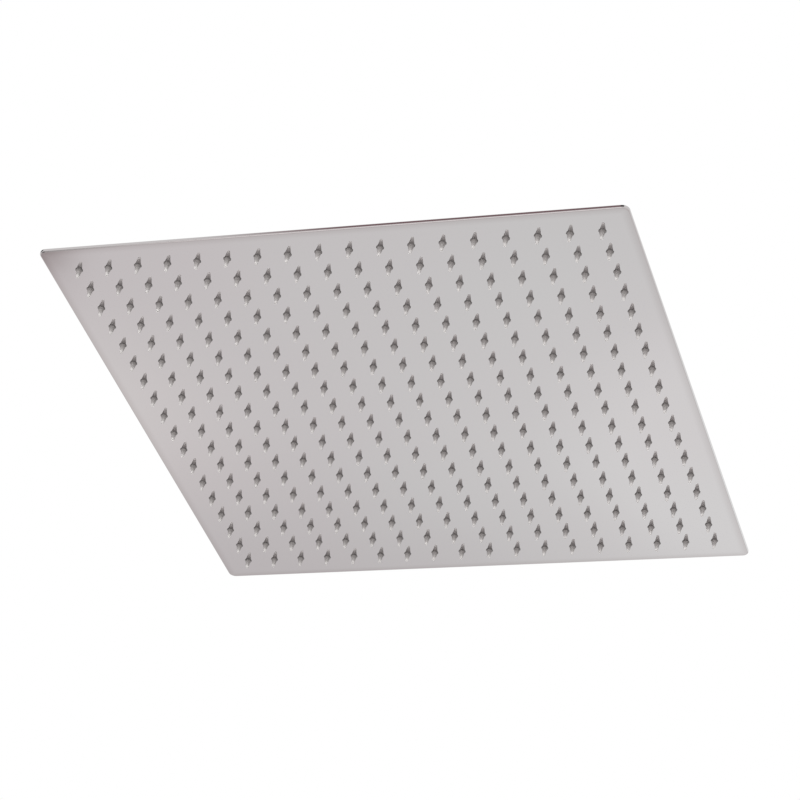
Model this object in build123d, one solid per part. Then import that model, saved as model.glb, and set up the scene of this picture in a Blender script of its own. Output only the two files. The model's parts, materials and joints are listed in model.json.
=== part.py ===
from build123d import *
from math import atan2, cos, degrees, radians, sin, sqrt, tan
import os

# Square rain shower head on a swivel ball connector, in millimetres.
# The origin is the centre of the connector's mouth, where the shower arm screws in. +Z is up, along the arm.

# Plates
plate_width = 400.0            # outside width of the square head
plate_corner_radius = 5.0      # in plan
face_sheet = 1.5               # thickness of the pierced spray sheet
back_sheet = 1.2               # thickness of the pressed back sheet
edge_round = 0.9               # polished round on the outer arrises
rim_width = 8.0                # flat welded rim of the back sheet
step_run = 4.0                 # width of the pressed step inside the rim
step_corner_radius = 9.0       # corner of the step in plan, at its top
water_gap = 2.5                # height of the step, which is the water space at the rim
bend_radius = 1.5              # on the hollow side of the step's bends
crown_margin = 18.0            # from the step's top edge to the foot of the shallow round crown
crown_rise = 4.0               # from the step's top to the seat
crown_bend_radius = 400.0      # where the crown runs out into the flats
seat_diameter = 80.0           # flat top of the crown, which the neck is welded to

# Nozzles
nozzle_pitch = 21.0
nozzle_edge_margin = 21.5      # from the plate's edge to the middle of the outer nozzles
nozzle_sides = 5               # few faces, because the plug is repeated hundreds of times
nozzle_face_diameter = 4.0     # circle inside the section, where the plug leaves the spray sheet
nozzle_tip_diameter = 2.0      # circle inside the section, at the free end
nozzle_reach = 6.5             # from the spray sheet to the free end
nozzle_head = 0.5              # what stands inside, above the spray sheet
nozzle_clearance = 0.05        # round each plug, square to the axis
row_slack = 0.001              # share of a pitch that a full row may lack

# Connector: ball, waist and hexagon in one piece
hexagon_across_flats = 24.0
hexagon_height = 16.2
hexagon_chamfer = 1.2
hexagon_corner_round = 0.6     # on the upright corners of the connector and the collar
hexagon_chamfer_angle = 30.0   # from the flat end
thread_minor_diameter = 18.631  # half-inch parallel pipe thread, inside
thread_length = 11.0
washer_seat_diameter = 17.6
screen_thickness = 0.4
washer_thickness = 2.0
washer_bore = 11.0
washer_clearance = 0.1
waterway_diameter = 8.0
waist_diameter = 12.0
waist_height = 18.0            # from the ball's centre to the hexagon
waist_round = 1.5              # where the waist runs out into the hexagon
ball_diameter = 24.0
ball_flat_depth = 8.5          # from the ball's centre down to its flat end

# Ball seat, in the head
joint_clearance = 0.15         # between the ball and each ring that it turns in
liner_thickness = 1.35
liner_width = 4.0
liner_angle = 65.0             # from the axis to the middle of the liner
seal_angle = 50.0              # from the axis, below the ball, to where the seal meets it
seal_bore = 15.0
seal_outside_diameter = 25.0
seal_rim_drop = 5.0            # from the ball's centre down to the seal's rim
seal_clearance = 0.1

# Collar nut and neck
collar_across_flats = 36.0
collar_rise = 11.5             # from the ball's centre up to the collar's top face
collar_drop = 9.5              # from the ball's centre down to the collar's lower face
collar_top_chamfer = 4.5
collar_foot_chamfer = 1.0
collar_opening = 21.8          # narrowest width of the hole that the waist passes through
neck_thread_diameter = 30.0
neck_thread_clearance = 0.1
neck_top_drop = 1.0            # from the ball's centre down to the neck's upper end
neck_top_clearance = 0.3       # free height that the collar's thread has above the neck
neck_floor_drop = 11.0         # from the ball's centre down to the seal's seat
neck_foot_drop = 13.5          # from the ball's centre down to the welded foot
neck_foot_diameter = 40.0
neck_foot_thickness = 2.0
neck_bore = 12.0

# Heights that follow from these
ball_z = -hexagon_height - waist_height
foot_z = ball_z - neck_foot_drop
neck_top_z = ball_z - neck_top_drop
back_seat_z = foot_z
back_step_z = back_seat_z - crown_rise
rim_top_z = back_step_z - water_gap
face_top_z = rim_top_z - back_sheet
spray_z = face_top_z - face_sheet
tip_z = spray_z - nozzle_reach
same_height = 0.001            # heights closer than this are one height

ball_radius = ball_diameter / 2
liner_inner_radius = ball_radius + joint_clearance
liner_outer_radius = liner_inner_radius + liner_thickness
collar_seat_radius = sqrt(liner_outer_radius**2 + (liner_width / 2) ** 2) + joint_clearance
collar_thread_radius = neck_thread_diameter / 2 + neck_thread_clearance


def turned(*outline):
    """Solid of revolution about Z from closed (radius, height) corners."""
    corners = [(radius, 0, height) for radius, height in outline]
    return revolve(make_face(Polyline(*corners, close=True)), Axis.Z)


def on_cone(radius, angle, along):
    """Point on the cone that touches a sphere round the ball's centre.

    The cone touches the sphere at an angle from the upward axis; along runs outwards and down from there.
    """
    tilt = radians(angle)
    return (radius * sin(tilt) + along * cos(tilt), ball_z + radius * cos(tilt) - along * sin(tilt))


def cone_at_radius(sphere_radius, angle, radius):
    """Point on the same cone at a given distance from the axis."""
    along = (radius - sphere_radius * sin(radians(angle))) / cos(radians(angle))
    return on_cone(sphere_radius, angle, along)


def cone_at_height(sphere_radius, angle, height):
    """Point on the same cone at a given height."""
    along = (ball_z + sphere_radius * cos(radians(angle)) - height) / sin(radians(angle))
    return on_cone(sphere_radius, angle, along)


def hexagon_nut(across_flats, low_z, high_z, low_chamfer, high_chamfer):
    """Hexagon with its corners turned off at the ends."""
    corner_radius = across_flats / sqrt(3)
    chamfer_slope = tan(radians(hexagon_chamfer_angle))
    section = RegularPolygon(across_flats / 2, 6, major_radius=False)
    section = fillet(section.vertices(), hexagon_corner_round)
    prism = Pos(0, 0, low_z) * extrude(section, high_z - low_z)
    blank = turned(
        (0, low_z),
        (corner_radius - low_chamfer, low_z),
        (corner_radius, low_z + low_chamfer * chamfer_slope),
        (corner_radius, high_z - high_chamfer * chamfer_slope),
        (corner_radius - high_chamfer, high_z),
        (0, high_z),
    )
    return prism & blank


def nozzle_places():
    """Grid of nozzle centres, as many as the plate takes inside its margins."""
    row = int((plate_width - 2 * nozzle_edge_margin) / nozzle_pitch + row_slack) + 1
    return GridLocations(nozzle_pitch, nozzle_pitch, row, row)


def nozzle_plug(low_z, high_z, growth):
    """Plug between two heights on the nozzle's taper, larger by growth all round."""
    slope = (nozzle_face_diameter - nozzle_tip_diameter) / 2 / nozzle_reach
    head_radius = nozzle_face_diameter / 2 + slope * (high_z - spray_z) + growth
    head = RegularPolygon(head_radius, nozzle_sides, major_radius=False)
    plug = extrude(head, high_z - low_z, taper=degrees(atan2(slope, 1)))
    return Pos(0, 0, high_z) * Rot(180, 0, 0) * plug


def square_outline(width, corner_radius, height):
    return Pos(0, 0, height) * RectangleRounded(width, width, corner_radius)


def make_face_plate():
    sheet = extrude(square_outline(plate_width, plate_corner_radius, spray_z), face_sheet)
    sheet = fillet(sheet.faces().sort_by(Axis.Z)[0].outer_wire().edges(), edge_round)
    hole = nozzle_plug(spray_z - face_sheet, face_top_z + face_sheet, nozzle_clearance)
    return sheet - [place * hole for place in nozzle_places()]


def make_silicone_nozzles():
    plug = nozzle_plug(tip_z, face_top_z + nozzle_head, 0).solid()
    return Compound([place * plug for place in nozzle_places()])


def back_form(drop, step_round):
    """What lies under the pressed form of the back sheet, with the form lowered by drop."""
    rim_inside = plate_width - 2 * rim_width
    outline = square_outline(rim_inside, step_corner_radius + step_run, rim_top_z - drop)
    step = extrude(outline, water_gap, taper=degrees(atan2(step_run, water_gap)))
    step = fillet(step.faces().sort_by(Axis.Z)[-1].outer_wire().edges(), step_round)
    crown_radius = rim_inside / 2 - step_run - crown_margin
    flat_radius = crown_radius + crown_margin / 2
    step_z = back_step_z - drop
    seat_z = back_seat_z - drop
    inside_z = step_z - water_gap / 2
    crown_line = FilletPolyline(
        (flat_radius, 0, step_z),
        (crown_radius, 0, step_z),
        (seat_diameter / 2, 0, seat_z),
        (0, 0, seat_z),
        radius=crown_bend_radius,
    )
    closing_line = Polyline(
        (0, 0, seat_z),
        (0, 0, inside_z),
        (flat_radius, 0, inside_z),
        (flat_radius, 0, step_z),
    )
    crown = revolve(make_face([*crown_line.edges(), *closing_line.edges()]), Axis.Z)
    return step + crown


def step_foot(sheet, height):
    """Edges at the foot of the step, on the upper or the lower face of the back sheet."""
    inside_rim = (plate_width - rim_width) / 2
    at_height = sheet.edges().filter_by_position(Axis.Z, height - same_height, height + same_height)
    return [edge for edge in at_height if max(abs(edge.center().X), abs(edge.center().Y)) < inside_rim]


def make_back_plate():
    rim = extrude(square_outline(plate_width, plate_corner_radius, face_top_z), back_sheet)
    rim = fillet(rim.faces().sort_by(Axis.Z)[-1].outer_wire().edges(), edge_round)
    pressed = rim + back_form(0, bend_radius + back_sheet)
    pressed = fillet(step_foot(pressed, rim_top_z), bend_radius)
    pressed -= back_form(back_sheet, bend_radius)
    pressed = fillet(step_foot(pressed, face_top_z), bend_radius + back_sheet)
    inlet = Pos(0, 0, foot_z) * Cylinder(neck_bore / 2, 2 * (back_sheet + crown_rise))
    return pressed - inlet


def make_inlet_neck():
    outline = (
        (neck_bore / 2, foot_z),
        (neck_foot_diameter / 2, foot_z),
        (neck_foot_diameter / 2, foot_z + neck_foot_thickness),
        (neck_thread_diameter / 2, foot_z + neck_foot_thickness),
        (neck_thread_diameter / 2, neck_top_z),
        (seal_outside_diameter / 2 + seal_clearance, neck_top_z),
        (seal_outside_diameter / 2 + seal_clearance, ball_z - neck_floor_drop),
        (neck_bore / 2, ball_z - neck_floor_drop),
    )
    return turned(*outline)


def make_ball_seal():
    lower_angle = 180 - seal_angle
    touch_radius = ball_radius + joint_clearance
    return turned(
        (seal_bore / 2, ball_z - neck_floor_drop),
        (seal_outside_diameter / 2, ball_z - neck_floor_drop),
        (seal_outside_diameter / 2, ball_z - seal_rim_drop),
        cone_at_height(touch_radius, lower_angle, ball_z - seal_rim_drop),
        cone_at_radius(touch_radius, lower_angle, seal_bore / 2),
    )


def make_friction_liner():
    half = liner_width / 2
    return turned(
        on_cone(liner_inner_radius, liner_angle, -half),
        on_cone(liner_inner_radius, liner_angle, half),
        on_cone(liner_outer_radius, liner_angle, half),
        on_cone(liner_outer_radius, liner_angle, -half),
    )


def make_collar_nut():
    opening = cone_at_radius(collar_seat_radius, liner_angle, collar_opening / 2)
    top_z = ball_z + collar_rise
    low_z = ball_z - collar_drop
    hollow = turned(
        (0, low_z),
        (collar_thread_radius, low_z),
        cone_at_radius(collar_seat_radius, liner_angle, collar_thread_radius),
        opening,
        (collar_opening / 2 + top_z - opening[1], top_z),
        (0, top_z),
    )
    thread_top_z = neck_top_z + neck_top_clearance
    thread = turned(
        (0, low_z),
        (collar_thread_radius, low_z),
        (collar_thread_radius, thread_top_z),
        (0, thread_top_z),
    )
    nut = hexagon_nut(collar_across_flats, low_z, top_z, collar_foot_chamfer, collar_top_chamfer)
    return nut - (hollow + thread)


def make_ball_connector():
    waist_radius = waist_diameter / 2
    waist_foot = ball_z + sqrt(ball_radius**2 - waist_radius**2)
    flat_z = ball_z - ball_flat_depth
    flat_radius = sqrt(ball_radius**2 - ball_flat_depth**2)
    waterway = waterway_diameter / 2
    waist_end = (waist_radius, 0, -hexagon_height - waist_round)
    round_end = (waist_radius + waist_round, 0, -hexagon_height)
    outline = [
        Line((waterway, 0, flat_z), (flat_radius, 0, flat_z)),
        ThreePointArc((flat_radius, 0, flat_z), (ball_radius, 0, ball_z), (waist_radius, 0, waist_foot)),
        Line((waist_radius, 0, waist_foot), waist_end),
        TangentArc(waist_end, round_end, tangent=(0, 0, 1)),
        Line(round_end, (waterway, 0, -hexagon_height)),
        Line((waterway, 0, -hexagon_height), (waterway, 0, flat_z)),
    ]
    stem = revolve(make_face(outline), Axis.Z)
    floor_z = -thread_length - washer_thickness - screen_thickness
    socket = turned(
        (0, 0),
        (thread_minor_diameter / 2, 0),
        (thread_minor_diameter / 2, -thread_length),
        (washer_seat_diameter / 2, -thread_length),
        (washer_seat_diameter / 2, floor_z),
        (waterway, floor_z),
        (waterway, -hexagon_height),
        (0, -hexagon_height),
    )
    hexagon = hexagon_nut(hexagon_across_flats, -hexagon_height, 0, hexagon_chamfer, hexagon_chamfer)
    return stem + (hexagon - socket)


def make_filter_screen():
    floor_z = -thread_length - washer_thickness - screen_thickness
    top_z = floor_z + screen_thickness
    radius = washer_seat_diameter / 2 - washer_clearance
    return turned((0, floor_z), (radius, floor_z), (radius, top_z), (0, top_z))


def make_filter_washer():
    low_z = -thread_length - washer_thickness
    top_z = -thread_length
    bore = washer_bore / 2
    radius = washer_seat_diameter / 2 - washer_clearance
    return turned((bore, low_z), (radius, low_z), (radius, top_z), (bore, top_z))


pieces = {
    "face_plate": make_face_plate(),
    "silicone_nozzles": make_silicone_nozzles(),
    "back_plate": make_back_plate(),
    "inlet_neck": make_inlet_neck(),
    "ball_seal": make_ball_seal(),
    "friction_liner": make_friction_liner(),
    "collar_nut": make_collar_nut(),
    "ball_connector": make_ball_connector(),
    "filter_screen": make_filter_screen(),
    "filter_washer": make_filter_washer(),
}

os.makedirs("parts", exist_ok=True)
for name, piece in pieces.items():
    export_step(piece, f"parts/{name}.step")
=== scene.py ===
# Rain shower head: finishes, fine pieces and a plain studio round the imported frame.
import json
import math
import bpy
from mathutils import Matrix, Vector


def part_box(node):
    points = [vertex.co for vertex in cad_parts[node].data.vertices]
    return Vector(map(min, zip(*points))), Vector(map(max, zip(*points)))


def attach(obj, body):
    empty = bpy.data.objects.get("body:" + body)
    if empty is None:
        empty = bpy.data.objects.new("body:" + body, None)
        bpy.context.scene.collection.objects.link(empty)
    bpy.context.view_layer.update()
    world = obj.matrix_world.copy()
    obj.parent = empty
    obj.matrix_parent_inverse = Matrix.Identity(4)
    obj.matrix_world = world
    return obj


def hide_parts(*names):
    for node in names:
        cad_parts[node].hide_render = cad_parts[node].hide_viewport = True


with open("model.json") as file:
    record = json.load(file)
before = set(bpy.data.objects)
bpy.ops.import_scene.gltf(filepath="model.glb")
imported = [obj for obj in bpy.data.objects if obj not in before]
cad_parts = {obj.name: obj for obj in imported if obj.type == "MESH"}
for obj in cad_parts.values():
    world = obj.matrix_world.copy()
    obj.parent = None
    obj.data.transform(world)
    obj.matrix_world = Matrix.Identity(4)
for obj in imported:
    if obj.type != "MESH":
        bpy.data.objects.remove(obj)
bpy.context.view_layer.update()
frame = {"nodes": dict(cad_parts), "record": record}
mm = 0.001
faceLow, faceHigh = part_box("face_plate")
sprayHeight = faceLow.z  # underside of the pierced sheet
print("frame has", len(frame["nodes"]), "nodes")


def srgb(hexColour):
    channels = [int(hexColour[i:i + 2], 16) / 255 for i in (0, 2, 4)]
    return [c / 12.92 if c <= 0.04045 else ((c + 0.055) / 1.055) ** 2.4 for c in channels] + [1]


def addNode(tree, kind, values=None, links=None, stops=None, **settings):
    node = tree.nodes.new(kind)
    for name, value in settings.items():
        setattr(node, name, value)
    for socket, value in (values or {}).items():
        node.inputs[socket].default_value = value
    for socket, source in (links or {}).items():
        tree.links.new(source, node.inputs[socket])
    if stops:  # place and colour of each stop on a colour ramp
        elements = node.color_ramp.elements
        while len(elements) < len(stops):
            elements.new(1)
        for element, (place, colour) in zip(elements, stops):
            element.position = place
            element.color = srgb(colour)
    return node


def newMaterial(name):
    material = bpy.data.materials.new(name)
    material.use_nodes = True
    material.node_tree.nodes.clear()
    return material, material.node_tree


# polished stainless sheet: clear reflections, the slow waves of thin rolled sheet, and painted shade
# along its margins, a darker colour in place of a darker reflection; the rim has the same fine polish on
# every sheet
# the haze of buffing is drawn in patches, because its real hairlines are too fine to show
def polishedStainless(name, polish, haze):
    # the margin colour is painted shade, a darker tone laid along the sheet's edges
    steel = {"pale": "cfcece", "warm": "cec9ca", "castPatch": 160 * mm, "paintedShadeMargin": "c3bfbf",
             "marginWidth": 7 * mm, "wave": 45 * mm, "waveHeight": 0.04 * mm, "scuff": 4 * mm,
             "rimPolish": 0.04}
    material, tree = newMaterial(name)
    place = addNode(tree, "ShaderNodeTexCoord").outputs["Object"]
    cast = addNode(tree, "ShaderNodeTexNoise", {"Scale": 1 / steel["castPatch"], "Detail": 1},
                   {"Vector": place})
    tint = addNode(tree, "ShaderNodeMix", {"A": srgb(steel["pale"]), "B": srgb(steel["warm"])},
                   {"Factor": cast.outputs["Fac"]}, data_type="RGBA")
    across = addNode(tree, "ShaderNodeVectorMath", links={0: place}, operation="ABSOLUTE")
    sides = addNode(tree, "ShaderNodeSeparateXYZ", links={"Vector": across.outputs["Vector"]})
    reach = addNode(tree, "ShaderNodeMath", links={0: sides.outputs["X"], 1: sides.outputs["Y"]},
                    operation="MAXIMUM")
    paintedShadeMargin = addNode(tree, "ShaderNodeMapRange",
                     {"From Min": faceHigh.x - steel["marginWidth"], "From Max": faceHigh.x},
                     {"Value": reach.outputs[0]}, interpolation_type="SMOOTHSTEP")
    # painted shade: the sheet's colour darkens towards its margins
    withPaintedShade = addNode(tree, "ShaderNodeMix", {"B": srgb(steel["paintedShadeMargin"])},
                    {"Factor": paintedShadeMargin.outputs["Result"], "A": tint.outputs["Result"]}, data_type="RGBA")
    scuff = addNode(tree, "ShaderNodeTexNoise", {"Scale": 1 / steel["scuff"], "Detail": 3},
                    {"Vector": place})
    cloud = addNode(tree, "ShaderNodeMapRange", {"To Min": polish, "To Max": haze},
                    {"Value": scuff.outputs["Fac"]})
    buffed = addNode(tree, "ShaderNodeMix", {"B": steel["rimPolish"]},
                     {"Factor": paintedShadeMargin.outputs["Result"], "A": cloud.outputs["Result"]},
                     data_type="FLOAT")
    wave = addNode(tree, "ShaderNodeTexNoise", {"Scale": 1 / steel["wave"], "Detail": 0},
                   {"Vector": place})
    bump = addNode(tree, "ShaderNodeBump", {"Strength": 1, "Distance": steel["waveHeight"]},
                   {"Height": wave.outputs["Fac"]})
    shader = addNode(tree, "ShaderNodeBsdfPrincipled", {"Metallic": 1},
                     {"Base Color": withPaintedShade.outputs["Result"], "Roughness": buffed.outputs["Result"],
                      "Normal": bump.outputs["Normal"]})
    addNode(tree, "ShaderNodeOutputMaterial", links={"Surface": shader.outputs[0]})
    return material


# bright chrome plate over turned brass: cooler and clearer than the sheet
def brightChrome():
    plate = {"colour": "cfd1d3", "polish": 0.04, "haze": 0.09, "smear": 12 * mm}
    material, tree = newMaterial("bright chrome plate")
    place = addNode(tree, "ShaderNodeTexCoord").outputs["Object"]
    smear = addNode(tree, "ShaderNodeTexNoise", {"Scale": 1 / plate["smear"], "Detail": 2},
                    {"Vector": place})
    haze = addNode(tree, "ShaderNodeMapRange", {"To Min": plate["polish"], "To Max": plate["haze"]},
                   {"Value": smear.outputs["Fac"]})
    shader = addNode(tree, "ShaderNodeBsdfPrincipled",
                     {"Metallic": 1, "Base Color": srgb(plate["colour"])},
                     {"Roughness": haze.outputs["Result"]})
    addNode(tree, "ShaderNodeOutputMaterial", links={"Surface": shader.outputs[0]})
    return material


# turned stainless boss: rings left by the tool, drawn coarser than real ones so that they show
def turnedStainless():
    boss = {"colour": "bdbab6", "ringPitch": 0.6 * mm, "ringHeight": 0.01 * mm, "ringWobble": 0.4,
            "roughness": 0.28}
    bandSpacing = 0.314  # of the wave texture's bands at scale 1
    material, tree = newMaterial("turned stainless boss")
    place = addNode(tree, "ShaderNodeTexCoord").outputs["Object"]
    rings = addNode(tree, "ShaderNodeTexWave",
                    {"Scale": bandSpacing / boss["ringPitch"], "Distortion": boss["ringWobble"]},
                    {"Vector": place}, bands_direction="Z")
    bump = addNode(tree, "ShaderNodeBump", {"Distance": boss["ringHeight"]},
                   {"Height": rings.outputs["Fac"]})
    shader = addNode(tree, "ShaderNodeBsdfPrincipled",
                     {"Metallic": 1, "Base Color": srgb(boss["colour"]), "Roughness": boss["roughness"]},
                     {"Normal": bump.outputs["Normal"]})
    addNode(tree, "ShaderNodeOutputMaterial", links={"Surface": shader.outputs[0]})
    return material


# moulded grey silicone: soft sheen, painted shade in the crease at the root, painted highlight towards the
# tip
# its grain is drawn coarser than a mould leaves, so that it shows
def greySiliconeWithPaintedLight(rootHeight, tipHeight):
    moulding = {"roughness": 0.36, "specular": 1, "ior": 1.41, "grain": 0.9 * mm, "grainHeight": 0.02 * mm,
                "tones": [  # share of the reach, from the crease at the root to the lip
                    (0, "2e2a29"), (0.05, "5a5554"), (0.13, "7e7978"),
                    (0.36, "9b9796"), (0.64, "b6b2b1"), (0.84, "dedbda")]}
    material, tree = newMaterial("moulded grey silicone")
    place = addNode(tree, "ShaderNodeTexCoord").outputs["Object"]
    height = addNode(tree, "ShaderNodeSeparateXYZ", links={"Vector": place}).outputs["Z"]
    # painted shade and highlight: the colour runs by height from dark at the root to pale at the tip
    reach = addNode(tree, "ShaderNodeMapRange", {"From Min": rootHeight, "From Max": tipHeight},
                    {"Value": height})
    colours = addNode(tree, "ShaderNodeValToRGB", links={"Fac": reach.outputs["Result"]},
                      stops=moulding["tones"])
    grain = addNode(tree, "ShaderNodeTexNoise", {"Scale": 1 / moulding["grain"]}, {"Vector": place})
    bump = addNode(tree, "ShaderNodeBump", {"Distance": moulding["grainHeight"]},
                   {"Height": grain.outputs["Fac"]})
    shader = addNode(tree, "ShaderNodeBsdfPrincipled",
                     {"Roughness": moulding["roughness"], "IOR": moulding["ior"],
                      "Specular IOR Level": moulding["specular"]},
                     {"Base Color": colours.outputs["Color"], "Normal": bump.outputs["Normal"]})
    addNode(tree, "ShaderNodeOutputMaterial", links={"Surface": shader.outputs[0]})
    return material


# black nitrile rubber: matt, with a faint bloom and a mould grain drawn coarse enough to show
def blackRubber():
    nitrile = {"tones": [(0.4, "1c1b1b"), (0.75, "2e2d2c")], "patch": 4 * mm, "grain": 0.4 * mm,
               "grainHeight": 0.03 * mm, "roughness": 0.62}
    material, tree = newMaterial("moulded black rubber")
    place = addNode(tree, "ShaderNodeTexCoord").outputs["Object"]
    patch = addNode(tree, "ShaderNodeTexNoise", {"Scale": 1 / nitrile["patch"]}, {"Vector": place})
    colours = addNode(tree, "ShaderNodeValToRGB", links={"Fac": patch.outputs["Fac"]},
                      stops=nitrile["tones"])
    grain = addNode(tree, "ShaderNodeTexNoise", {"Scale": 1 / nitrile["grain"]}, {"Vector": place})
    bump = addNode(tree, "ShaderNodeBump", {"Distance": nitrile["grainHeight"]},
                   {"Height": grain.outputs["Fac"]})
    shader = addNode(tree, "ShaderNodeBsdfPrincipled", {"Roughness": nitrile["roughness"]},
                     {"Base Color": colours.outputs["Color"], "Normal": bump.outputs["Normal"]})
    addNode(tree, "ShaderNodeOutputMaterial", links={"Surface": shader.outputs[0]})
    return material


# white nylon: waxy sheen, faintly mottled, and lets a little light into its surface
def whiteNylon():
    nylon = {"tones": [(0.35, "e6e4dd"), (0.7, "d9d6cc")], "patch": 3 * mm, "roughness": 0.38,
             "seeInto": 0.15, "seeDepth": 1 * mm}
    material, tree = newMaterial("moulded white nylon")
    place = addNode(tree, "ShaderNodeTexCoord").outputs["Object"]
    patch = addNode(tree, "ShaderNodeTexNoise", {"Scale": 1 / nylon["patch"]}, {"Vector": place})
    colours = addNode(tree, "ShaderNodeValToRGB", links={"Fac": patch.outputs["Fac"]},
                      stops=nylon["tones"])
    shader = addNode(tree, "ShaderNodeBsdfPrincipled",
                     {"Roughness": nylon["roughness"], "Subsurface Weight": nylon["seeInto"],
                      "Subsurface Scale": nylon["seeDepth"]},
                     {"Base Color": colours.outputs["Color"]})
    addNode(tree, "ShaderNodeOutputMaterial", links={"Surface": shader.outputs[0]})
    return material


# drawn stainless wire: bright along the wire, dulled in patches by scale
def screenWire():
    wire = {"tones": [(0.35, "b9b8b6"), (0.7, "96938e")], "patch": 2 * mm, "roughness": 0.3}
    material, tree = newMaterial("drawn stainless wire")
    place = addNode(tree, "ShaderNodeTexCoord").outputs["Object"]
    patch = addNode(tree, "ShaderNodeTexNoise", {"Scale": 1 / wire["patch"]}, {"Vector": place})
    colours = addNode(tree, "ShaderNodeValToRGB", links={"Fac": patch.outputs["Fac"]},
                      stops=wire["tones"])
    shader = addNode(tree, "ShaderNodeBsdfPrincipled", {"Metallic": 1, "Roughness": wire["roughness"]},
                     {"Base Color": colours.outputs["Color"]})
    addNode(tree, "ShaderNodeOutputMaterial", links={"Surface": shader.outputs[0]})
    return material


def deselectAll():
    if bpy.context.object and bpy.context.object.mode != "OBJECT":
        bpy.ops.object.mode_set(mode="OBJECT")
    bpy.ops.object.select_all(action="DESELECT")


# round silicone nozzles, each with its spray bore, in the places of the plain plugs
def makeNozzles():
    jet = {"row": 18, "pitch": 21 * mm, "sides": 8, "smooth": 50,
           "profile": [  # radius, and height from the spray face: trumpet root, slim taper, lip and bore
               (2.20 * mm, 0.50 * mm),
               (2.75 * mm, 0.00 * mm),
               (2.25 * mm, -0.45 * mm),
               (1.90 * mm, -1.40 * mm),
               (1.30 * mm, -4.20 * mm),
               (1.00 * mm, -6.00 * mm),
               (0.78 * mm, -6.50 * mm),
               (0.40 * mm, -6.50 * mm),
               (0.36 * mm, -5.60 * mm)]}
    corner = -jet["pitch"] * (jet["row"] - 1) / 2
    tip = min(height for radius, height in jet["profile"])
    radius, height = jet["profile"][0]
    deselectAll()
    bpy.ops.mesh.primitive_circle_add(vertices=jet["sides"], radius=radius, fill_type="NGON",
                                      location=(corner, corner, sprayHeight + height))
    nozzles = bpy.context.object
    nozzles.name = "nozzleJets"
    bpy.ops.object.mode_set(mode="EDIT")
    for nextRadius, nextHeight in jet["profile"][1:]:
        bpy.ops.mesh.extrude_region_move(TRANSFORM_OT_translate={"value": (0, 0, nextHeight - height)})
        share = nextRadius / radius
        bpy.ops.transform.resize(value=(share, share, 1), center_override=(corner, corner, 0))
        radius, height = nextRadius, nextHeight
    bpy.ops.mesh.select_all(action="SELECT")
    bpy.ops.mesh.normals_make_consistent(inside=False)
    bpy.ops.object.mode_set(mode="OBJECT")
    bpy.ops.object.transform_apply(location=True, rotation=True, scale=True)
    for axis in ((jet["pitch"], 0, 0), (0, jet["pitch"], 0)):
        array = nozzles.modifiers.new("rows", "ARRAY")
        array.count = jet["row"]
        array.use_relative_offset = False
        array.use_constant_offset = True
        array.constant_offset_displace = axis
        bpy.ops.object.modifier_apply(modifier=array.name)
    bpy.ops.object.shade_smooth_by_angle(angle=math.radians(jet["smooth"]))
    nozzles.data.materials.append(greySiliconeWithPaintedLight(sprayHeight, sprayHeight + tip))
    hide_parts("silicone_nozzles")
    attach(nozzles, "head")
    print("nozzles have", len(nozzles.data.polygons), "faces")


# half-inch pipe thread in the connector's mouth: one ridge wound up the bore wall
def makeThread(plating):
    thread = {"pitch": 1.814 * mm, "turns": 5, "stepsPerTurn": 40, "crest": 0.5 * mm, "sunk": 0.15 * mm,
              "flank": 2, "foot": -10.2 * mm, "smooth": 40}
    bore = frame["record"]["mounts"][0]["dims"]["r_mm"] * mm
    radius = (thread["crest"] + thread["sunk"]) / 1.5  # a triangle stands one and a half radii high
    deselectAll()
    bpy.ops.mesh.primitive_circle_add(vertices=3, radius=radius, fill_type="NOTHING",
                                      location=(bore - thread["crest"] + radius, 0, thread["foot"]),
                                      rotation=(math.radians(90), math.radians(-90), 0))
    ridge = bpy.context.object
    ridge.name = "pipeThread"
    bpy.ops.object.transform_apply(location=True, rotation=True, scale=True)
    bpy.ops.object.mode_set(mode="EDIT")
    bpy.ops.transform.resize(value=(1, 1, thread["flank"]), center_override=(0, 0, thread["foot"]))
    bpy.ops.object.mode_set(mode="OBJECT")
    wind = ridge.modifiers.new("wind", "SCREW")
    wind.screw_offset = thread["pitch"]
    wind.iterations = thread["turns"]
    wind.steps = thread["stepsPerTurn"]
    wind.render_steps = thread["stepsPerTurn"]
    bpy.ops.object.modifier_apply(modifier=wind.name)
    bpy.ops.object.mode_set(mode="EDIT")
    bpy.ops.mesh.select_all(action="SELECT")
    bpy.ops.mesh.fill_holes(sides=3)
    bpy.ops.mesh.normals_make_consistent(inside=False)
    bpy.ops.object.mode_set(mode="OBJECT")
    bpy.ops.object.shade_smooth_by_angle(angle=math.radians(thread["smooth"]))
    ridge.data.materials.append(plating)
    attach(ridge, "connector")
    print("thread has", len(ridge.data.polygons), "faces")


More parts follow.
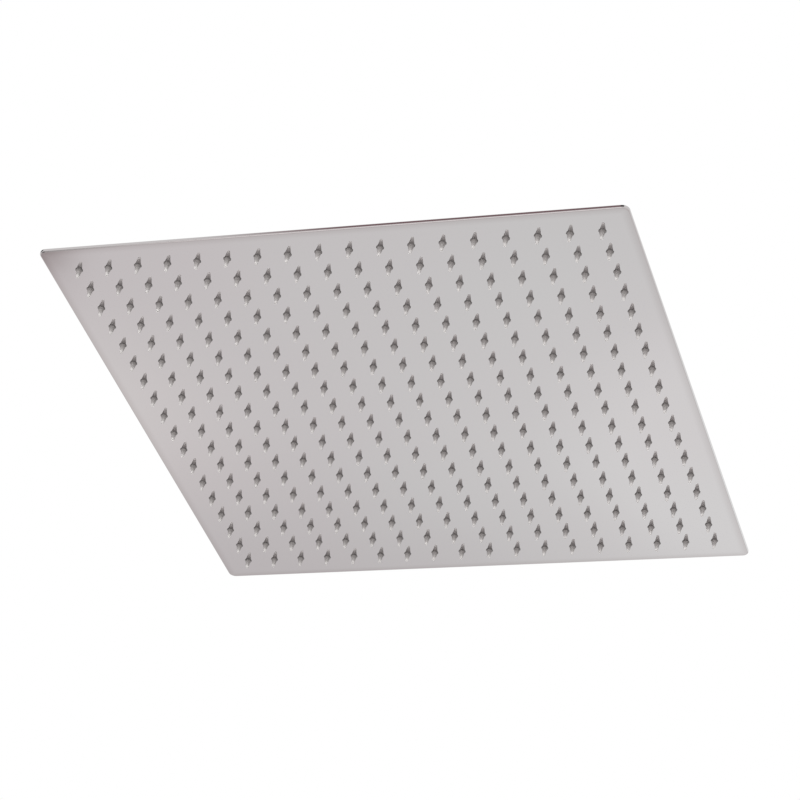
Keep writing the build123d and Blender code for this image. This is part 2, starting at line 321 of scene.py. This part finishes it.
# woven filter screen: crossing wires that pass over and under, in a rolled rim
def makeFilterScreen(wireMaterial):
    screen = {"wires": 24, "wire": 0.16 * mm, "crimp": 0.07 * mm, "rim": 0.19 * mm, "rimSteps": 48,
              "rimSides": 8, "smooth": 60}
    low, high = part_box("filter_screen")
    radius = high.x
    middle = (low.z + high.z) / 2
    deselectAll()
    bpy.ops.mesh.primitive_grid_add(x_subdivisions=screen["wires"], y_subdivisions=screen["wires"],
                                    size=2 * radius, location=(0, 0, middle))
    mesh = bpy.context.object
    mesh.name = "wovenScreen"
    bpy.ops.object.transform_apply(location=True, rotation=True, scale=True)
    bpy.ops.object.mode_set(mode="EDIT")
    bpy.ops.mesh.select_all(action="DESELECT")
    bpy.ops.mesh.select_mode(type="FACE")
    bpy.ops.object.mode_set(mode="OBJECT")
    for face in mesh.data.polygons:
        face.select = face.center.xy.length > radius - 2 * screen["rim"]
    bpy.ops.object.mode_set(mode="EDIT")
    bpy.ops.mesh.delete(type="FACE")
    bpy.ops.mesh.select_mode(type="VERT")
    spacing = 2 * radius / screen["wires"]
    for turn, shift in ((0, screen["crimp"]), (1, -screen["crimp"])):
        bpy.ops.mesh.select_all(action="DESELECT")
        bpy.ops.object.mode_set(mode="OBJECT")
        for vertex in mesh.data.vertices:
            column = round((vertex.co.x + radius) / spacing)
            row = round((vertex.co.y + radius) / spacing)
            vertex.select = (column + row) % 2 == turn
        bpy.ops.object.mode_set(mode="EDIT")
        bpy.ops.transform.translate(value=(0, 0, shift))
    bpy.ops.object.mode_set(mode="OBJECT")
    wires = mesh.modifiers.new("wires", "WIREFRAME")
    wires.thickness = screen["wire"]
    wires.use_even_offset = False
    bpy.ops.object.modifier_apply(modifier=wires.name)
    bpy.ops.object.mode_set(mode="EDIT")
    bpy.ops.mesh.primitive_torus_add(major_radius=radius - screen["rim"], minor_radius=screen["rim"],
                                     major_segments=screen["rimSteps"], minor_segments=screen["rimSides"],
                                     location=(0, 0, middle))
    bpy.ops.object.mode_set(mode="OBJECT")
    bpy.ops.object.shade_smooth_by_angle(angle=math.radians(screen["smooth"]))
    mesh.data.materials.append(wireMaterial)
    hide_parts("filter_screen")
    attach(mesh, "connector")
    print("filter screen has", len(mesh.data.polygons), "faces")


# camera at the photograph's angle, below the plate and looking up
def makeCamera():
    view = {"aim": (-3 * mm, -13 * mm), "distance": 2.0914, "azimuth": 21.43, "elevation": -34.58,
            "roll": 9.22, "lens": 136.9, "sensor": 36, "farthest": 100}
    azimuth, elevation = math.radians(view["azimuth"]), math.radians(view["elevation"])
    aim = Vector((*view["aim"], sprayHeight))
    away = Vector((math.sin(azimuth) * math.cos(elevation), -math.cos(azimuth) * math.cos(elevation),
                   math.sin(elevation)))
    levelRight = Vector((math.cos(azimuth), math.sin(azimuth), 0))
    right = Matrix.Rotation(math.radians(view["roll"]), 3, away) @ levelRight
    up = away.cross(right)
    turned = Matrix((right, up, away)).transposed().to_4x4()
    data = bpy.data.cameras.new("photoCamera")
    data.lens = view["lens"]
    data.sensor_width = view["sensor"]
    data.clip_end = view["farthest"]
    camera = bpy.data.objects.new("photoCamera", data)
    camera.matrix_world = Matrix.Translation(aim + away * view["distance"]) @ turned
    bpy.context.scene.collection.objects.link(camera)
    bpy.context.scene.camera = camera
    print("camera at", [round(c, 3) for c in camera.location])


# white surround for what the eye and the metal see, softer light for what the surfaces get
def makeWorld():
    studio = {"seen": "ffffff", "light": "f4f2f0", "lightStrength": 0.55}
    world = bpy.data.worlds.new("studioWorld")
    bpy.context.scene.world = world
    world.use_nodes = True
    tree = world.node_tree
    tree.nodes.clear()
    path = addNode(tree, "ShaderNodeLightPath")
    eyeOrGloss = addNode(tree, "ShaderNodeMath",
                         links={0: path.outputs["Is Camera Ray"], 1: path.outputs["Is Glossy Ray"]},
                         operation="MAXIMUM")
    seen = addNode(tree, "ShaderNodeMath",
                   links={0: eyeOrGloss.outputs[0], 1: path.outputs["Is Transmission Ray"]},
                   operation="MAXIMUM")
    light = addNode(tree, "ShaderNodeBackground",
                    {"Color": srgb(studio["light"]), "Strength": studio["lightStrength"]})
    white = addNode(tree, "ShaderNodeBackground", {"Color": srgb(studio["seen"]), "Strength": 1})
    both = addNode(tree, "ShaderNodeMixShader",
                   links={0: seen.outputs[0], 1: light.outputs[0], 2: white.outputs[0]})
    addNode(tree, "ShaderNodeOutputWorld", links={"Surface": both.outputs[0]})
    print("surround made")


# pale floor: lit as it is to the eye, and to polished metal a pool of light with soft spots
def makeFloor():
    ground = {"height": -1.95, "size": 60, "colour": "e9e8e7", "roughness": 0.8, "shadowShare": 0.5,
              "whiteFrom": 1.5, "whiteBy": 6, "poolCentre": (-0.3, 2.8, 0), "poolReach": 4,
              "pool": [  # share of the reach, from the bright middle outwards
                  (0.085, "ffffff"), (0.13, "f6f6f6"), (0.185, "f2f2f2"),
                  (0.33, "eeeaeb"), (0.37, "d6cecf"), (0.8, "f2f0f0")],
              "spots": [  # centre, reach and colour, laid over the pool in this order
                  ((-1.7, 2.55, 0), 0.55, "fcf9f8"),
                  ((-1.53, 2.03, 0), 0.11, "aca0a0"),
                  ((-1.45, 3.45, 0), 1.0, "ddd9da")]}
    deselectAll()
    bpy.ops.mesh.primitive_plane_add(size=ground["size"], location=(0, 0, ground["height"]))
    floor = bpy.context.object
    floor.name = "studioFloor"
    material, tree = newMaterial("pale studio floor")
    plain = addNode(tree, "ShaderNodeBsdfPrincipled",
                    {"Base Color": srgb(ground["colour"]), "Roughness": ground["roughness"]})
    place = addNode(tree, "ShaderNodeTexCoord").outputs["Object"]
    away = addNode(tree, "ShaderNodeVectorMath", {1: ground["poolCentre"]}, {0: place},
                   operation="DISTANCE")
    share = addNode(tree, "ShaderNodeMapRange", {"From Max": ground["poolReach"]},
                    {"Value": away.outputs["Value"]})
    poolTone = addNode(tree, "ShaderNodeValToRGB", links={"Fac": share.outputs["Result"]},
                       stops=ground["pool"]).outputs["Color"]
    for centre, reach, colour in ground["spots"]:
        aside = addNode(tree, "ShaderNodeVectorMath", {1: centre}, {0: place}, operation="DISTANCE")
        near = addNode(tree, "ShaderNodeMapRange", {"From Min": reach, "From Max": 0},
                       {"Value": aside.outputs["Value"]}, interpolation_type="SMOOTHSTEP")
        poolTone = addNode(tree, "ShaderNodeMix", {"B": srgb(colour)},
                           {"Factor": near.outputs["Result"], "A": poolTone},
                           data_type="RGBA").outputs["Result"]
    pool = addNode(tree, "ShaderNodeEmission", {"Strength": 1}, {"Color": poolTone})
    path = addNode(tree, "ShaderNodeLightPath")
    mirrored = addNode(tree, "ShaderNodeMath",
                       links={0: path.outputs["Is Glossy Ray"], 1: path.outputs["Is Transmission Ray"]},
                       operation="MAXIMUM")
    white = addNode(tree, "ShaderNodeEmission", {"Strength": 1})
    out = addNode(tree, "ShaderNodeVectorMath", links={0: place}, operation="LENGTH")
    whiten = addNode(tree, "ShaderNodeMapRange",
                     {"From Min": ground["whiteFrom"], "From Max": ground["whiteBy"],
                      "To Min": 1 - ground["shadowShare"], "To Max": 1},
                     {"Value": out.outputs["Value"]}, interpolation_type="SMOOTHSTEP")
    toEye = addNode(tree, "ShaderNodeMath",
                    links={0: path.outputs["Is Camera Ray"], 1: whiten.outputs["Result"]},
                    operation="MULTIPLY")
    seen = addNode(tree, "ShaderNodeMixShader",
                   links={0: toEye.outputs[0], 1: plain.outputs[0], 2: white.outputs[0]})
    both = addNode(tree, "ShaderNodeMixShader",
                   links={0: mirrored.outputs[0], 1: seen.outputs[0], 2: pool.outputs[0]})
    addNode(tree, "ShaderNodeOutputMaterial", links={"Surface": both.outputs[0]})
    floor.data.materials.append(material)
    print("floor at", ground["height"])


# dark and bright cards with soft borders, which only reflections show; they draw the plate's edges
# a level card lies flat, and the others stand square to the part
def makeCards():
    cards = [  # bearing from +Y towards +X and rise, in degrees; core is the share of each side in full tone
        {"name": "frontCard", "bearing": 179, "rise": 38, "away": 2.5, "size": (2.2, 3.0), "core": 0.72,
         "colour": "947b7f", "level": False, "strength": 1},
        {"name": "sideCard", "bearing": 270, "rise": 36, "away": 2.5, "size": (3.0, 1.5), "core": 0.58,
         "colour": "0f0c0c", "level": False, "strength": 1},
        {"name": "cornerCard", "bearing": 168.5, "rise": 38, "away": 2.45, "size": (1.8, 1.4),
         "core": 0.86, "colour": "0c0809", "level": False, "strength": 1},
        {"name": "lowCard", "bearing": 242.24, "rise": -41.95, "away": 2.887, "size": (2.0, 4.4),
         "core": 0.6, "colour": "1c1716", "level": True, "strength": 1},
        {"name": "glowCard", "bearing": 196, "rise": -45.9, "away": 2.68, "size": (1.7, 0.9),
         "core": 0.5, "colour": "fff8f8", "level": True, "strength": 2.2},
        {"name": "edgeCard", "bearing": 34, "rise": -4, "away": 2.5, "size": (1.0, 3.0),
         "core": 0.4, "colour": "faffff", "level": False, "strength": 1.3},
    ]
    for card in cards:
        bearing, rise = math.radians(card["bearing"]), math.radians(card["rise"])
        outward = Vector((math.sin(bearing) * math.cos(rise), math.cos(bearing) * math.cos(rise),
                          math.sin(rise)))
        facing = Vector((0, 0, 1)) if card["level"] else outward
        deselectAll()
        bpy.ops.mesh.primitive_plane_add(size=1, location=outward * card["away"],
                                         rotation=facing.to_track_quat("Z", "Y").to_euler())
        item = bpy.context.object
        item.name = card["name"]
        item.scale = (*card["size"], 1)
        material, tree = newMaterial(card["name"])
        place = addNode(tree, "ShaderNodeTexCoord").outputs["Object"]
        across = addNode(tree, "ShaderNodeVectorMath", links={0: place}, operation="ABSOLUTE")
        sides = addNode(tree, "ShaderNodeSeparateXYZ", links={"Vector": across.outputs["Vector"]})
        reach = addNode(tree, "ShaderNodeMath", links={0: sides.outputs["X"], 1: sides.outputs["Y"]},
                        operation="MAXIMUM")
        cover = addNode(tree, "ShaderNodeMapRange",
                        {"From Min": 0.5, "From Max": card["core"] / 2},  # half of a plane of size 1
                        {"Value": reach.outputs[0]}, interpolation_type="SMOOTHSTEP")
        clear = addNode(tree, "ShaderNodeBsdfTransparent")
        tone = addNode(tree, "ShaderNodeEmission",
                       {"Color": srgb(card["colour"]), "Strength": card["strength"]})
        both = addNode(tree, "ShaderNodeMixShader",
                       links={0: cover.outputs["Result"], 1: clear.outputs[0], 2: tone.outputs[0]})
        addNode(tree, "ShaderNodeOutputMaterial", links={"Surface": both.outputs[0]})
        item.data.materials.append(material)
        item.visible_camera = False
        item.visible_diffuse = False
        item.visible_shadow = False
    print("cards made:", len(cards))


# pale screens along two sides of the plate, which only reflections show; they keep the cards out of its top
def makePaleScreens():
    pale = {"foot": sprayHeight + 3 * mm, "height": 0.8, "clear": 1.5 * mm, "corner": 2 * mm,
            "far": 0.45, "whiteFrom": 0.05, "low": "ffffff", "high": "c4c3c2"}
    stand = faceHigh.x - pale["clear"]
    near = -faceHigh.x + pale["corner"]
    middle = (near + pale["far"]) / 2
    material, tree = newMaterial("pale screen")
    place = addNode(tree, "ShaderNodeTexCoord").outputs["Object"]
    sides = addNode(tree, "ShaderNodeSeparateXYZ", links={"Vector": place})
    rise = addNode(tree, "ShaderNodeMapRange",
                   {"From Min": pale["foot"], "From Max": pale["foot"] + pale["height"]},
                   {"Value": sides.outputs["Z"]})
    along = addNode(tree, "ShaderNodeMath", links={0: sides.outputs["X"], 1: sides.outputs["Y"]},
                    operation="MAXIMUM")
    fade = addNode(tree, "ShaderNodeMapRange", {"From Min": pale["far"], "From Max": pale["whiteFrom"]},
                   {"Value": along.outputs[0]}, interpolation_type="SMOOTHSTEP")
    shade = addNode(tree, "ShaderNodeMath", links={0: rise.outputs["Result"], 1: fade.outputs["Result"]},
                    operation="MULTIPLY")
    tone = addNode(tree, "ShaderNodeMix", {"A": srgb(pale["low"]), "B": srgb(pale["high"])},
                   {"Factor": shade.outputs[0]}, data_type="RGBA")
    glow = addNode(tree, "ShaderNodeEmission", {"Strength": 1}, {"Color": tone.outputs["Result"]})
    addNode(tree, "ShaderNodeOutputMaterial", links={"Surface": glow.outputs[0]})
    screens = (("frontScreen", (middle, -stand), 0), ("sideScreen", (-stand, middle), 90))
    for name, centre, turn in screens:
        deselectAll()
        bpy.ops.mesh.primitive_plane_add(size=1, location=(*centre, pale["foot"] + pale["height"] / 2),
                                         rotation=(math.radians(90), 0, math.radians(turn)))
        item = bpy.context.object
        item.name = name
        item.scale = (pale["far"] - near, pale["height"], 1)
        bpy.ops.object.transform_apply(location=True, rotation=True, scale=True)
        item.data.materials.append(material)
        item.visible_camera = False
        item.visible_diffuse = False
        item.visible_shadow = False
    print("pale screens made:", len(screens))


# soft round lamps aimed at the plate; reflections don't show them
def makeLamps():
    lamps = [
        {"name": "keyLamp", "at": (-0.9, -1.9, -1.1), "size": 1.6, "watts": 26},
        {"name": "fillLamp", "at": (1.9, -0.6, -1.4), "size": 1.6, "watts": 14},
        {"name": "topLamp", "at": (0.4, 0.8, 1.8), "size": 1.8, "watts": 30},
    ]
    for lamp in lamps:
        data = bpy.data.lights.new(lamp["name"], "AREA")
        data.shape = "DISK"
        data.size = lamp["size"]
        data.energy = lamp["watts"]
        item = bpy.data.objects.new(lamp["name"], data)
        place = Vector(lamp["at"])
        item.location = place
        item.rotation_euler = (Vector((0, 0, sprayHeight)) - place).to_track_quat("-Z", "Y").to_euler()
        item.visible_glossy = False
        bpy.context.scene.collection.objects.link(item)
    print("lamps made:", len(lamps))


makeCamera()
makeWorld()
makeFloor()
makeCards()
makePaleScreens()
makeLamps()
chrome = brightChrome()
rubber = blackRubber()
finishes = {
    "face_plate": polishedStainless("mirror polished stainless sheet", polish=0.03, haze=0.06),
    "back_plate": polishedStainless("plain polished stainless sheet", polish=0.13, haze=0.2),
    "inlet_neck": turnedStainless(),
    "collar_nut": chrome,
    "ball_connector": chrome,
    "friction_liner": whiteNylon(),
    "ball_seal": rubber,
    "filter_washer": rubber,
}
for node, finish in finishes.items():
    slots = frame["nodes"][node].data.materials
    slots.clear()
    slots.append(finish)
print("finishes on", len(finishes), "nodes")
makeFilterScreen(screenWire())
makeThread(chrome)
makeNozzles()

bpy.context.scene.view_settings.view_transform = "Standard"
